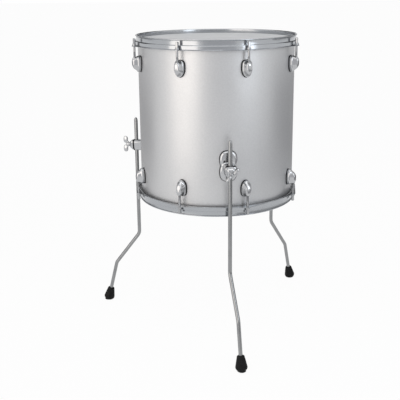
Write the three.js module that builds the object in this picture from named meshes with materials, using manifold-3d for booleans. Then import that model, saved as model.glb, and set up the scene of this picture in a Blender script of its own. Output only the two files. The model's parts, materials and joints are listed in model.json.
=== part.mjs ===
// Floor tom: a 16 inch wooden drum shell with two heads, two flanged hoops, eight lugs and
// eight tension rods to a side, and three bent legs held by eye bolt clamps.
// Millimetres, +Z up. A station is built facing -Y and then turned about Z to its place.

import * as THREE from 'three';
import { mergeVertices } from 'three/addons/utils/BufferGeometryUtils.js';
import Module from 'manifold-3d';

const wasm = await Module();
wasm.setup();

// Running and seating clearances
const seatGap = 0.3;
const slotGap = 0.5;
const overrun = 5;

// Shell
const shellRadius = 203.2;
const shellDepth = 406.4;
const shellWall = 7.2;
const shellBottomHeight = 362.5;
const edgeRoundOver = 3;
const edgeBevel = 4.2;

// Head: a film bent over the bearing edge into an aluminium ring
const filmThickness = 0.5;
const filmInRing = 3;
const ringTopDrop = 4.4;
const ringHeight = 9;
const ringWidth = 4.6;
const ringChamfer = 0.8;

// Hoop: rolled sheet with a lip, a step over the head's ring and an eared flange
const hoopSheet = 2.2;
const hoopRise = 11.6;
const hoopThroatGap = 0.6;
const hoopLip = 2;
const flangeBelowRing = 0.5;
const flangeRim = 1.8;
const earRadius = 6.7;

// Tension rods and their lugs
const rodsPerSide = 8;
const firstLugDegrees = -24.65;
const rodShaftRadius = 2.95;
const rodToHoopWall = 6.9;
const rodInLug = 20;
const washerRadius = 5.5;
const washerThickness = 1.6;
const collarRadius = 4.6;
const collarHeight = 3.4;
const keyHeadWidth = 6.2;
const keyHeadHeight = 13;

const lugWidth = 26;
const lugHeight = 40.9;
const lugStandOff = 23.7;
const lugFromEdge = 37.3;
const lugBoreSpare = 4;
const lugBossWall = 2.6;
const gasketThickness = 1.5;
const gasketBorder = 0.7;

// Leg brackets
const frontBracketDegrees = 8;
const leftBracketDegrees = -106.4;
const rightBracketDegrees = 135.2;
const bracketRise = 109.5;
const plateWidth = 51;
const plateHeight = 77;
const plateThickness = 7;
const plateRise = 6.5;
const blockWidth = 28.5;
const blockFlare = 4;
const blockHeight = 32;
const blockPastRod = 0.8;
const seamGap = 0.8;

// Clamp: an eye bolt round the leg, a cap that bears on it and a wing nut
const eyeHeight = 8;
const eyeWall = 3.7;
const stemRadius = 3;
const stemPastNut = 2;
const capHeight = 28;
const capDepth = 11.8;
const tongueHeight = 25;
const tongueDepth = 4;
const hubRadius = 5.8;
const hubLength = 11;
const wingSpan = 46;
const wingRadius = 7.8;
const wingThickness = 4.4;
const wingOverHub = 4;

// Legs and feet
const legRadius = 5;
const rodFromShell = 29.5;
const legPastBracket = 73;
const upperBendHeight = 209.5;
const lowerBendHeight = 116.5;
const lowerBendReach = 70.5;
const footReach = 99;
const bendRadius = 28;
const legEndHeight = 12;
const footHeight = 37;
const footWidest = 15;
const footWidestHeight = 8;
const footTopRadius = 9.3;
const footSoleRadius = 10.8;
const footTopRound = 1.6;

// How the legs and wing nuts are set by hand
const frontLegDegrees = 7.5;
const leftLegDegrees = 11.5;
const rightLegDegrees = 0.5;
const frontWingDegrees = 45;
const leftWingDegrees = 90;
const rightWingDegrees = 20;

// Vent
const ventDegrees = 177.85;
const ventBoreRadius = 4;
const ventTubeWall = 1.6;
const ventFlange = 3.2;
const ventFlangeThickness = 1.2;

// Facet counts
const drumFacets = 48;
const roundFacets = 12;
const smallFacets = 8;
const rodFacets = 8;
const outlinePoints = 14;
const arcSteps = 2;
const bendSteps = 5;

// Sizes that follow from the ones above
const halfDepth = shellDepth / 2;
const shellInside = shellRadius - shellWall;
const drumMidHeight = shellBottomHeight + halfDepth;
const filmInside = shellRadius + seatGap;
const filmOutside = filmInside + filmThickness;
const ringInside = filmOutside + seatGap;
const ringOutside = ringInside + ringWidth;
const ringTop = halfDepth - ringTopDrop;
const ringBottom = ringTop - ringHeight;
const filmBottom = ringTop - filmInRing;
const throatInside = filmOutside + hoopThroatGap;
const throatOutside = throatInside + hoopSheet;
const skirtInside = ringOutside + seatGap;
const skirtOutside = skirtInside + hoopSheet;
const stepUnderside = ringTop + seatGap;
const flangeBottom = ringBottom - flangeBelowRing;
const flangeTop = flangeBottom + hoopSheet;
const flangeRadius = skirtOutside + flangeRim;
const rodCircle = skirtOutside + rodToHoopWall;
const lugNearEnd = halfDepth - lugFromEdge;
const rodReach = shellRadius + rodFromShell;
const bracketHeight = shellBottomHeight + bracketRise;
const legTopHeight = bracketHeight + legPastBracket;
const blockFront = rodReach + legRadius + blockPastRod;
const capBack = blockFront + seamGap;
const capFront = capBack + capDepth;

const chrome = { color: 0xcfd2d4, roughness: 0.12, metalness: 1 };
const finishes = {
  shell: new THREE.MeshStandardMaterial({ color: 0xb4b5b8, roughness: 0.34, metalness: 0.6 }),
  film: new THREE.MeshStandardMaterial({ color: 0xe6e7e8, roughness: 0.55, metalness: 0 }),
  ring: new THREE.MeshStandardMaterial({ color: 0xb9bcbf, roughness: 0.4, metalness: 1 }),
  chrome: new THREE.MeshStandardMaterial(chrome),
  leg: new THREE.MeshStandardMaterial({ color: 0xb3b5b7, roughness: 0.25, metalness: 1 }),
  rubber: new THREE.MeshStandardMaterial({ color: 0x141414, roughness: 0.8, metalness: 0 })
};

const stations = [
  {
    place: 'front', bracketDegrees: frontBracketDegrees, legDegrees: frontLegDegrees, wingDegrees: frontWingDegrees
  },
  {
    place: 'left', bracketDegrees: leftBracketDegrees, legDegrees: leftLegDegrees, wingDegrees: leftWingDegrees
  },
  {
    place: 'right', bracketDegrees: rightBracketDegrees, legDegrees: rightLegDegrees, wingDegrees: rightWingDegrees
  }
];

const radians = THREE.MathUtils.degToRad;

// A closed geometry becomes a solid that can be joined and cut
function toSolid(geometry) {
  const bare = geometry.index ? geometry.toNonIndexed() : geometry.clone();
  bare.deleteAttribute('normal');
  bare.deleteAttribute('uv');
  const merged = mergeVertices(bare);
  return new wasm.Manifold(new wasm.Mesh({
    numProp: 3,
    vertProperties: new Float32Array(merged.attributes.position.array),
    triVerts: new Uint32Array(merged.index.array)
  }));
}

function toGeometry(solid) {
  const mesh = solid.getMesh();
  const geometry = new THREE.BufferGeometry();
  geometry.setAttribute('position', new THREE.BufferAttribute(mesh.vertProperties, 3));
  geometry.setIndex(new THREE.BufferAttribute(mesh.triVerts, 1));
  geometry.computeVertexNormals();
  return geometry;
}

function piece(name, solid, finish) {
  const mesh = new THREE.Mesh(toGeometry(solid), finish);
  mesh.name = name;
  return mesh;
}

// A profile of [radius, height] pairs turned about Z, in either winding
function revolve(profile, facets) {
  const area = profile.reduce((sum, [radius, height], i) => {
    const [nextRadius, nextHeight] = profile[(i + 1) % profile.length];
    return sum + radius * nextHeight - nextRadius * height;
  }, 0);
  const ordered = area > 0 ? profile : [...profile].reverse();
  const points = [...ordered, ordered[0]].map(([radius, height]) => new THREE.Vector2(radius, height));
  return toSolid(new THREE.LatheGeometry(points, facets).rotateX(Math.PI / 2));
}

function disc(radius, bottom, top, facets) {
  return revolve([[0, bottom], [radius, bottom], [radius, top], [0, top]], facets);
}

// A round bar that points along -Y, from one distance off the drum's axis to another
function radialBar(radius, from, to, facets) {
  return disc(radius, from, to, facets).rotate([90, 0, 0]);
}

function bar(x, y, radius, bottom, top, facets) {
  return disc(radius, bottom, top, facets).translate([x, y, 0]);
}

function slab(width, near, far, bottom, top) {
  const geometry = new THREE.BoxGeometry(width, far - near, top - bottom);
  geometry.translate(0, -(near + far) / 2, (bottom + top) / 2);
  return toSolid(geometry);
}

// Skins a stack of rings with equal point counts and closes both ends
function loft(rings) {
  const count = rings[0].length;
  const middle = (ring) => ring
    .reduce((sum, point) => sum.add(point), new THREE.Vector3())
    .divideScalar(count);
  const points = [...rings.flat(), middle(rings[0]), middle(rings[rings.length - 1])];
  const faces = [];
  for (let level = 0; level + 1 < rings.length; level += 1) {
    for (let i = 0; i < count; i += 1) {
      const a = level * count + i;
      const b = level * count + (i + 1) % count;
      faces.push(a, b, b + count, a, b + count, a + count);
    }
  }
  const lastRing = (rings.length - 1) * count;
  for (let i = 0; i < count; i += 1) {
    const next = (i + 1) % count;
    faces.push(points.length - 2, next, i);
    faces.push(points.length - 1, lastRing + i, lastRing + next);
  }
  const geometry = new THREE.BufferGeometry();
  geometry.setAttribute('position', new THREE.Float32BufferAttribute(points.flatMap((p) => p.toArray()), 3));
  geometry.setIndex(faces);
  return toSolid(geometry);
}

// Rings for a casting that stands off the drum: each level holds its distance from the drum's
// axis and the width and height of its outline, whose corners are as full as the fullness says
function castingRings(levels, outline) {
  return levels.map(({ reach, width, height, lift = 0 }) => {
    const ring = [];
    for (let i = 0; i < outlinePoints; i += 1) {
      const [x, z] = outline(2 * Math.PI * i / outlinePoints);
      ring.push(new THREE.Vector3(x * width / 2, -reach, z * height / 2 + lift));
    }
    return ring;
  });
}

const power = (value, exponent) => Math.sign(value) * Math.abs(value) ** exponent;

// Unit outlines, from -1 to 1 both ways
const lugNearShare = 0.62;
const lugFarShare = 0.98;
const capCornerShare = 0.5;
const capTaperShare = 0.3;
const plateSideShare = 0.62;
const plateWaistShare = 0.24;
const lugOutline = (turn) => {
  const cornerShare = Math.sin(turn) > 0 ? lugNearShare : lugFarShare;
  return [power(Math.cos(turn), cornerShare), power(Math.sin(turn), cornerShare)];
};
const capOutline = (turn) => {
  const height = power(Math.sin(turn), capCornerShare);
  const taper = 1 - capTaperShare * (1 - height) / 2;
  return [power(Math.cos(turn), capCornerShare) * taper, height];
};
const plateOutline = (turn) => {
  const waist = 1 - plateWaistShare * (1 - Math.abs(Math.sin(turn))) ** 2;
  return [power(Math.cos(turn), plateSideShare) * waist, Math.sin(turn)];
};

// Shell: a tube with a bevelled and rounded bearing edge at both ends
function makeShell() {
  const peak = shellRadius - edgeRoundOver;
  const profile = [
    [shellInside, halfDepth - edgeBevel],
    [peak, halfDepth],
    [shellRadius, halfDepth - edgeRoundOver],
    [shellRadius, edgeRoundOver - halfDepth],
    [peak, -halfDepth],
    [shellInside, edgeBevel - halfDepth]
  ];
  const ventHole = radialBar(
    ventBoreRadius + ventTubeWall + seatGap, shellInside - overrun, shellRadius + overrun, smallFacets
  ).rotate([0, 0, ventDegrees - firstLugDegrees]);
  return revolve(profile, drumFacets).subtract(ventHole);
}

function makeVentGrommet() {
  const tube = ventBoreRadius + ventTubeWall;
  const flange = tube + ventFlange;
  const outside = shellRadius + seatGap;
  const facetSag = flange * Math.tan(Math.PI / drumFacets);
  const inside = shellInside - facetSag - seatGap;
  const profile = [
    [ventBoreRadius, inside - ventFlangeThickness],
    [flange, inside - ventFlangeThickness],
    [flange, inside],
    [tube, inside],
    [tube, outside],
    [flange, outside],
    [flange, outside + ventFlangeThickness],
    [ventBoreRadius, outside + ventFlangeThickness]
  ];
  return revolve(profile, smallFacets).rotate([90, 0, 0]);
}

// Head film: flat over the drum, bent down outside the bearing edge
function makeFilm() {
  const peak = shellRadius - edgeRoundOver;
  const under = halfDepth + seatGap;
  const profile = [
    [0, under],
    [peak, under],
    [filmInside, under - edgeRoundOver],
    [filmInside, filmBottom],
    [filmOutside, filmBottom],
    [filmOutside, under - edgeRoundOver + filmThickness],
    [peak + filmThickness, under + filmThickness],
    [0, under + filmThickness]
  ];
  return revolve(profile, drumFacets);
}

function makeRing() {
  const profile = [
    [ringInside, ringBottom],
    [ringOutside - ringChamfer, ringBottom],
    [ringOutside, ringBottom + ringChamfer],
    [ringOutside, ringTop - ringChamfer],
    [ringOutside - ringChamfer, ringTop],
    [ringInside, ringTop]
  ];
  return revolve(profile, drumFacets);
}

// The flange's outline: a circle with an ear for each rod, joined by common tangents
function flangeOutline() {
  const outline = new THREE.Shape();
  const tangent = Math.acos((flangeRadius - earRadius) / rodCircle);
  const step = 2 * Math.PI / rodsPerSide;
  for (let i = 0; i < rodsPerSide; i += 1) {
    const ear = i * step - Math.PI / 2;
    const x = rodCircle * Math.cos(ear);
    const y = rodCircle * Math.sin(ear);
    outline.absarc(x, y, earRadius, ear - tangent, ear + tangent, false);
    outline.absarc(0, 0, flangeRadius, ear + tangent, ear + step - tangent, false);
  }
  return outline;
}

function makeHoop() {
  const lipTop = halfDepth + hoopRise;
  const profile = [
    [throatInside, stepUnderside],
    [throatInside, lipTop],
    [throatOutside + hoopLip, lipTop],
    [throatOutside + hoopLip, lipTop - hoopSheet],
    [throatOutside, lipTop - hoopSheet - hoopLip],
    [throatOutside, stepUnderside + hoopSheet],
    [skirtOutside, stepUnderside + hoopSheet],
    [skirtOutside, flangeBottom],
    [skirtInside, flangeBottom],
    [skirtInside, stepUnderside]
  ];
  const flange = toSolid(new THREE.ExtrudeGeometry(flangeOutline(), {
    depth: hoopSheet, bevelEnabled: false, curveSegments: arcSteps
  })).translate([0, 0, flangeBottom]);
  const inner = disc(skirtInside, flangeBottom - overrun, flangeTop + overrun, drumFacets);
  let hoop = flange.subtract(inner).add(revolve(profile, drumFacets));
  for (let i = 0; i < rodsPerSide; i += 1) {
    const hole = bar(0, -rodCircle, rodShaftRadius + slotGap, flangeBottom - overrun, flangeTop + overrun, rodFacets);
    hoop = hoop.subtract(hole.rotate([0, 0, i * 360 / rodsPerSide]));
  }
  return hoop;
}

// Lug: an egg shaped casting with a ridge down its front, a gasket under it and a rod boss
function makeLug() {
  const base = shellRadius + gasketThickness;
  const middle = lugNearEnd - lugHeight / 2;
  const border = 2 * gasketBorder;
  const shoulderShare = 0.3;
  const cheekShare = 0.72;
  const cheekWidthShare = 0.8;
  const ridgeWidthShare = 0.16;
  const ridgeHeightShare = 0.5;
  const levels = [
    { reach: shellInside, width: lugWidth + border, height: lugHeight + border },
    { reach: base, width: lugWidth + border, height: lugHeight + border },
    { reach: base, width: lugWidth, height: lugHeight },
    { reach: shellRadius + lugStandOff * shoulderShare, width: lugWidth, height: lugHeight },
    {
      reach: shellRadius + lugStandOff * cheekShare,
      width: lugWidth * cheekWidthShare,
      height: lugHeight * cheekWidthShare
    },
    {
      reach: shellRadius + lugStandOff,
      width: lugWidth * ridgeWidthShare,
      height: lugHeight * ridgeHeightShare
    }
  ];
  const body = loft(castingRings(levels, lugOutline)).translate([0, 0, middle]);
  const bore = rodShaftRadius + seatGap;
  const boss = bar(0, -rodCircle, bore + lugBossWall, middle, lugNearEnd, smallFacets);
  const boreBottom = lugNearEnd - rodInLug - lugBoreSpare;
  const hole = bar(0, -rodCircle, bore, boreBottom, lugNearEnd + overrun, rodFacets);
  const seat = disc(shellRadius + seatGap, middle - lugHeight, middle + lugHeight, drumFacets);
  return body.add(boss).subtract(hole).subtract(seat);
}

// Tension rod: threaded shaft, washer, collar and square key head in one
function makeTensionRod() {
  const washerBottom = flangeTop + seatGap;
  const washerTop = washerBottom + washerThickness;
  const collarTop = washerTop + collarHeight;
  const profile = [
    [0, lugNearEnd - rodInLug],
    [rodShaftRadius, lugNearEnd - rodInLug],
    [rodShaftRadius, washerBottom],
    [washerRadius, washerBottom],
    [washerRadius, washerTop],
    [collarRadius, washerTop],
    [collarRadius, collarTop],
    [0, collarTop]
  ];
  const head = new THREE.BoxGeometry(keyHeadWidth, keyHeadWidth, keyHeadHeight + collarHeight);
  head.translate(0, 0, washerTop + (keyHeadHeight + collarHeight) / 2);
  return revolve(profile, rodFacets).add(toSolid(head)).translate([0, -rodCircle, 0]);
}

// Leg bracket: a waisted plate on a gasket, with a slotted block for the leg and the eye bolt
function makeBracket() {
  const base = shellRadius + gasketThickness;
  const crownShare = 0.8;
  const levels = [
    { reach: shellInside, width: plateWidth, height: plateHeight },
    { reach: base, width: plateWidth, height: plateHeight },
    { reach: base, width: plateWidth - 2 * gasketBorder, height: plateHeight - 2 * gasketBorder },
    {
      reach: base + plateThickness / 2,
      width: plateWidth - 2 * gasketBorder,
      height: plateHeight - 2 * gasketBorder
    },
    {
      reach: base + plateThickness,
      width: plateWidth * crownShare,
      height: plateHeight * crownShare
    }
  ];
  const plate = loft(castingRings(levels, plateOutline)).translate([0, 0, plateRise]);
  const footprint = new THREE.Shape();
  footprint.moveTo(-blockWidth / 2 - blockFlare, -shellRadius);
  footprint.lineTo(-blockWidth / 2, -(base + plateThickness + blockFlare));
  footprint.lineTo(-blockWidth / 2, -blockFront + blockFlare);
  footprint.lineTo(-blockWidth / 2 + blockFlare / 2, -blockFront);
  footprint.lineTo(blockWidth / 2 - blockFlare / 2, -blockFront);
  footprint.lineTo(blockWidth / 2, -blockFront + blockFlare);
  footprint.lineTo(blockWidth / 2, -(base + plateThickness + blockFlare));
  footprint.lineTo(blockWidth / 2 + blockFlare, -shellRadius);
  const block = toSolid(new THREE.ExtrudeGeometry(footprint, { depth: blockHeight, bevelEnabled: false }))
    .translate([0, 0, -blockHeight / 2]);
  const channel = legRadius + seatGap;
  const past = blockHeight / 2 + overrun;
  const pocket = legRadius + eyeWall + seatGap + seatGap;
  const pocketTop = eyeHeight / 2 + slotGap;
  const seat = disc(shellRadius + seatGap, -plateHeight, plateHeight, 2 * drumFacets);
  return plate.add(block)
    .subtract(bar(0, -rodReach, channel, -past, past, roundFacets))
    .subtract(slab(2 * channel, rodReach, blockFront + overrun, -past, past))
    .subtract(bar(0, -rodReach, pocket, -pocketTop, pocketTop, roundFacets))
    .subtract(slab(2 * pocket, rodReach, blockFront + overrun, -pocketTop, pocketTop))
    .subtract(seat);
}

// Eye bolt: a ring round the leg and a stem out through the cap
function makeEyeBolt() {
  const eye = bar(0, -rodReach, legRadius + seatGap + eyeWall, -eyeHeight / 2, eyeHeight / 2, roundFacets);
  const hole = bar(0, -rodReach, legRadius + seatGap, -eyeHeight, eyeHeight, roundFacets);
  const stemEnd = capFront + seatGap + hubLength + stemPastNut;
  const stem = radialBar(stemRadius, rodReach + legRadius + seatGap, stemEnd, smallFacets);
  return eye.add(stem).subtract(hole);
}

// Clamp cap: a domed cover with a grooved tongue that bears on the leg
function makeClampCap() {
  const brimShare = 0.55;
  const crownWidthShare = 0.58;
  const levels = [
    { reach: capBack, width: blockWidth, height: capHeight },
    { reach: capBack + capDepth * brimShare, width: blockWidth, height: capHeight },
    { reach: capFront, width: blockWidth * crownWidthShare, height: capHeight * crownWidthShare }
  ];
  const tongueWidth = 2 * (legRadius + seatGap - slotGap);
  const eyeRoom = legRadius + seatGap + eyeWall + slotGap;
  return loft(castingRings(levels, capOutline))
    .add(slab(tongueWidth, capBack - tongueDepth, capBack + seamGap, -tongueHeight / 2, tongueHeight / 2))
    .subtract(bar(0, -rodReach, legRadius + seatGap, -capHeight, capHeight, roundFacets))
    .subtract(bar(0, -rodReach, eyeRoom, -eyeHeight / 2 - slotGap, eyeHeight / 2 + slotGap, roundFacets))
    .subtract(radialBar(stemRadius + seatGap, rodReach, capFront + overrun, smallFacets));
}

// Wing nut: a hub on the stem with two round wings that stand forward of it
function makeWingNut() {
  const hubBack = capFront + seatGap;
  const hubFront = hubBack + hubLength;
  const hub = radialBar(hubRadius, hubBack, hubFront, smallFacets);
  const wingCentre = wingSpan / 2 - wingRadius;
  const wingReach = hubFront + wingOverHub;
  const web = new THREE.Shape();
  web.moveTo(-hubRadius, -(hubBack + hubLength / 3));
  web.lineTo(-wingCentre - wingRadius / 2, -(wingReach - wingRadius / 2));
  web.lineTo(-wingCentre, -wingReach);
  web.lineTo(-hubRadius / 2, -hubFront);
  web.lineTo(hubRadius / 2, -hubFront);
  web.lineTo(wingCentre, -wingReach);
  web.lineTo(wingCentre + wingRadius / 2, -(wingReach - wingRadius / 2));
  web.lineTo(hubRadius, -(hubBack + hubLength / 3));
  let nut = toSolid(new THREE.ExtrudeGeometry(web, { depth: wingThickness, bevelEnabled: false }))
    .translate([0, 0, -wingThickness / 2])
    .add(hub);
  for (const side of [-1, 1]) {
    nut = nut.add(bar(side * wingCentre, -wingReach, wingRadius, -wingThickness / 2, wingThickness / 2, roundFacets));
  }
  return nut.subtract(radialBar(stemRadius + seatGap, capBack, hubFront + overrun, smallFacets));
}

// The leg's route off its own upright axis, as [reach, height] pairs with each corner rounded
function legRoute() {
  const slope = (footReach - lowerBendReach) / lowerBendHeight;
  const corners = [
    new THREE.Vector2(0, legTopHeight),
    new THREE.Vector2(0, upperBendHeight),
    new THREE.Vector2(lowerBendReach, lowerBendHeight),
    new THREE.Vector2(footReach - slope * legEndHeight, legEndHeight)
  ];
  const route = [corners[0]];
  for (let i = 1; i + 1 < corners.length; i += 1) {
    const back = corners[i - 1].clone().sub(corners[i]).normalize();
    const ahead = corners[i + 1].clone().sub(corners[i]).normalize();
    const halfAngle = back.angleTo(ahead) / 2;
    const toTangent = bendRadius / Math.tan(halfAngle);
    const start = corners[i].clone().addScaledVector(back, toTangent);
    const end = corners[i].clone().addScaledVector(ahead, toTangent);
    const centre = corners[i].clone()
      .addScaledVector(back.clone().add(ahead).normalize(), bendRadius / Math.sin(halfAngle));
    const from = start.sub(centre);
    const to = end.sub(centre);
    const sweep = Math.atan2(from.x * to.y - from.y * to.x, from.dot(to));
    for (let step = 0; step <= bendSteps; step += 1) {
      route.push(from.clone().rotateAround(new THREE.Vector2(), sweep * step / bendSteps).add(centre));
    }
  }
  return [...route, corners[corners.length - 1]];
}

function makeLeg() {
  const route = legRoute();
  const rings = route.map((point, i) => {
    const before = route[Math.max(i - 1, 0)];
    const after = route[Math.min(i + 1, route.length - 1)];
    const along = after.clone().sub(before).normalize();
    const ring = [];
    for (let k = 0; k < smallFacets; k += 1) {
      const turn = 2 * Math.PI * k / smallFacets;
      const across = legRadius * Math.cos(turn);
      const x = legRadius * Math.sin(turn);
      ring.push(new THREE.Vector3(x, -(point.x + across * along.y), point.y - across * along.x));
    }
    return ring;
  });
  return loft(rings);
}

// Foot: a turned rubber tip on the leg's end, cut level with the floor
function makeFoot() {
  const profile = [
    [0, -overrun],
    [footSoleRadius, -overrun],
    [footSoleRadius, 0],
    [footWidest, footWidestHeight * 2 / 3],
    [footWidest, footWidestHeight * 4 / 3],
    [footTopRadius, footHeight - footTopRound],
    [footTopRadius - footTopRound, footHeight],
    [0, footHeight]
  ];
  const tilt = Math.atan2(footReach - lowerBendReach, lowerBendHeight);
  const boreBottom = legEndHeight / Math.cos(tilt) - legRadius * Math.tan(tilt) - seatGap;
  const bore = disc(legRadius + seatGap, boreBottom, footHeight + overrun, roundFacets);
  const below = slab(4 * footWidest, footReach - 2 * footWidest, footReach + 2 * footWidest, -4 * overrun, 0);
  return revolve(profile, roundFacets)
    .subtract(bore)
    .rotate([-THREE.MathUtils.radToDeg(tilt), 0, 0])
    .translate([0, -footReach, 0])
    .subtract(below);
}

// One side of the drum, built with its hoop upwards about the shell's middle
function makeDrumSide(head, place, turn) {
  const side = new THREE.Group();
  side.add(piece(`${head}_head`, makeFilm(), finishes.film));
  side.add(piece(`${head}_head_ring`, makeRing(), finishes.ring));
  side.add(piece(`${head}_hoop`, makeHoop(), finishes.chrome));
  const lug = makeLug();
  const rod = makeTensionRod();
  for (let i = 0; i < rodsPerSide; i += 1) {
    const station = new THREE.Group();
    station.add(piece(`lug_${place}_${i + 1}`, lug, finishes.chrome));
    station.add(piece(`tension_rod_${place}_${i + 1}`, rod, finishes.chrome));
    station.rotation.z = turn * i * 2 * Math.PI / rodsPerSide;
    side.add(station);
  }
  return side;
}

function makeDrum() {
  const drum = new THREE.Group();
  drum.position.z = drumMidHeight;
  drum.rotation.z = radians(firstLugDegrees);
  drum.add(piece('shell', makeShell(), finishes.shell));
  const vent = piece('vent_grommet', makeVentGrommet(), finishes.rubber);
  vent.rotation.z = radians(ventDegrees - firstLugDegrees);
  drum.add(vent);
  drum.add(makeDrumSide('batter', 'top', 1));
  const lower = makeDrumSide('resonant', 'bottom', -1);
  lower.rotation.y = Math.PI;
  drum.add(lower);
  return drum;
}

function makeLegStation({ place, bracketDegrees, legDegrees, wingDegrees }) {
  const station = new THREE.Group();
  station.rotation.z = radians(bracketDegrees);
  const clamp = new THREE.Group();
  clamp.position.z = bracketHeight;
  clamp.add(piece(`bracket_${place}`, makeBracket(), finishes.chrome));
  clamp.add(piece(`eye_bolt_${place}`, makeEyeBolt(), finishes.chrome));
  clamp.add(piece(`clamp_cap_${place}`, makeClampCap(), finishes.chrome));
  const nut = piece(`wing_nut_${place}`, makeWingNut(), finishes.chrome);
  nut.rotation.y = -radians(wingDegrees);
  clamp.add(nut);
  station.add(clamp);
  const leg = new THREE.Group();
  leg.position.y = -rodReach;
  leg.rotation.z = radians(legDegrees);
  leg.add(piece(`leg_${place}`, makeLeg(), finishes.leg));
  leg.add(piece(`foot_${place}`, makeFoot(), finishes.rubber));
  station.add(leg);
  return station;
}

const floorTom = new THREE.Group();
floorTom.add(makeDrum());
for (const station of stations) {
  floorTom.add(makeLegStation(station));
}

// The origin lies on the floor, under the middle of the whole object
const reach = new THREE.Box3().setFromObject(floorTom, true);
floorTom.position.set(-(reach.min.x + reach.max.x) / 2, -(reach.min.y + reach.max.y) / 2, -reach.min.z);
floorTom.updateMatrixWorld(true);

export default floorTom;
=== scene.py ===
import json
import math
import bmesh
import bpy
from mathutils import Matrix, Vector


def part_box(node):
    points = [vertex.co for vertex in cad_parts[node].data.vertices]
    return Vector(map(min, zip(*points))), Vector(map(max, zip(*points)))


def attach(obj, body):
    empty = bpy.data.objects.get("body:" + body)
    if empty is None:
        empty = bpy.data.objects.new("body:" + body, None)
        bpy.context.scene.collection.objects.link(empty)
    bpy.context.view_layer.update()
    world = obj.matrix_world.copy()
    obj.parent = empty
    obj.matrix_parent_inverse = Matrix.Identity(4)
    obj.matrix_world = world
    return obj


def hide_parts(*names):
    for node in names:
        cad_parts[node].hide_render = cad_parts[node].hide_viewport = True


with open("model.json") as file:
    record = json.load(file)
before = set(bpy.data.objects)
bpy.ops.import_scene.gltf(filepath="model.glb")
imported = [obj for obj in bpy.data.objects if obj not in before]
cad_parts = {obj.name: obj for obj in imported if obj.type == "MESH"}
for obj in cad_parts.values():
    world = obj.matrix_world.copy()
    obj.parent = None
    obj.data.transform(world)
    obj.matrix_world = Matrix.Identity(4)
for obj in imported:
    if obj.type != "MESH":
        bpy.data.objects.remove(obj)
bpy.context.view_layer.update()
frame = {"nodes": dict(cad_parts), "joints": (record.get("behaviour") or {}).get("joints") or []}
print("frame loaded:", len(frame["nodes"]), "nodes")

mm = 0.001
fullTurn = 2 * math.pi
quarterTurn = math.pi / 2
joints = {joint["name"]: joint for joint in frame["joints"]}

# The drum's own axis and shell, read from the frame
shellLow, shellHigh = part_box("shell")
axisX = (shellLow.x + shellHigh.x) / 2
axisY = (shellLow.y + shellHigh.y) / 2
drum = {
    "radius": 203.2 * mm,
    "wall": 7.2 * mm,
    "middle": (shellLow.z + shellHigh.z) / 2,
    "half": (shellHigh.z - shellLow.z) / 2,
    "rods": 8,
    "segments": 288,
}


def azimuthOf(point):
    return math.atan2(point[0] - axisX, axisY - point[1])


# A point round an upright axis; a turn of 0 lies to the front, towards -Y
def roundPoint(radius, turn, height):
    return Vector((radius * math.sin(turn), -radius * math.cos(turn), height))


# A station faces -Y: x runs to the right, -y outwards from the drum's axis, z up
def stationMatrix(azimuth, height, flipped=False):
    place = Matrix.Translation((axisX, axisY, height)) @ Matrix.Rotation(azimuth, 4, "Z")
    if flipped:
        place = place @ Matrix.Rotation(math.pi, 4, "Y")
    return place


# A step outwards and upwards at a station
def shift(out, up=0):
    return Matrix.Translation((0, -out, up))


# Lies a lathe down so that its axis points outwards, along -Y
outwards = Matrix.Rotation(quarterTurn, 4, "X")


# Mesh helpers

sharpDegrees = 32
cornerSteps = 4
onAxis = 1e-7


def newObject(name, data):
    item = bpy.data.objects.new(name, data)
    bpy.context.scene.collection.objects.link(item)
    return item


# Even turns round a full circle
def turnsOf(steps):
    return [fullTurn * step / steps for step in range(steps)]


# Edges stay sharp where faces meet at more than the given degrees
def shade(mesh, degrees):
    mesh.shade_smooth()
    mesh.set_sharp_from_angle(angle=math.radians(degrees))


def plainMesh(name, points, faces):
    mesh = bpy.data.meshes.new(name)
    mesh.from_pydata(points, [], faces)
    return mesh


def newMesh(name, points, faces, degrees=sharpDegrees):
    mesh = plainMesh(name, points, faces)
    work = bmesh.new()
    work.from_mesh(mesh)
    bmesh.ops.recalc_face_normals(work, faces=work.faces)
    work.to_mesh(mesh)
    work.free()
    shade(mesh, degrees)
    return mesh


def dress(mesh, *looks):
    for look in looks:
        mesh.materials.append(look)
    return mesh


# The place goes into the mesh, so that every piece sits at the origin as the frame's own do
def addPiece(name, mesh, place, body, slot, *nodes):
    own = mesh.copy()
    own.name = name
    own.transform(place)
    piece = newObject(name, own)
    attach(piece, body)
    if nodes:
        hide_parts(*nodes)


# Rounds the corners of an outline; a corner is (r, z) or (r, z, rounding)
def roundedProfile(corners, steps=cornerSteps):
    result = []
    for index, corner in enumerate(corners):
        here = Vector(corner[:2])
        rounding = corner[2] if len(corner) > 2 else 0
        before = Vector(corners[index - 1][:2]) - here
        after = Vector(corners[(index + 1) % len(corners)][:2]) - here
        if rounding == 0 or before.length == 0 or after.length == 0:
            result.append(here)
            continue
        half = before.angle(after) / 2
        reach = min(rounding / math.tan(half), before.length / 2, after.length / 2)
        start = here + before.normalized() * reach
        end = here + after.normalized() * reach
        for step in range(steps + 1):
            share = step / steps
            result.append((1 - share) ** 2 * start + 2 * share * (1 - share) * here + share ** 2 * end)
    return result


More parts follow.
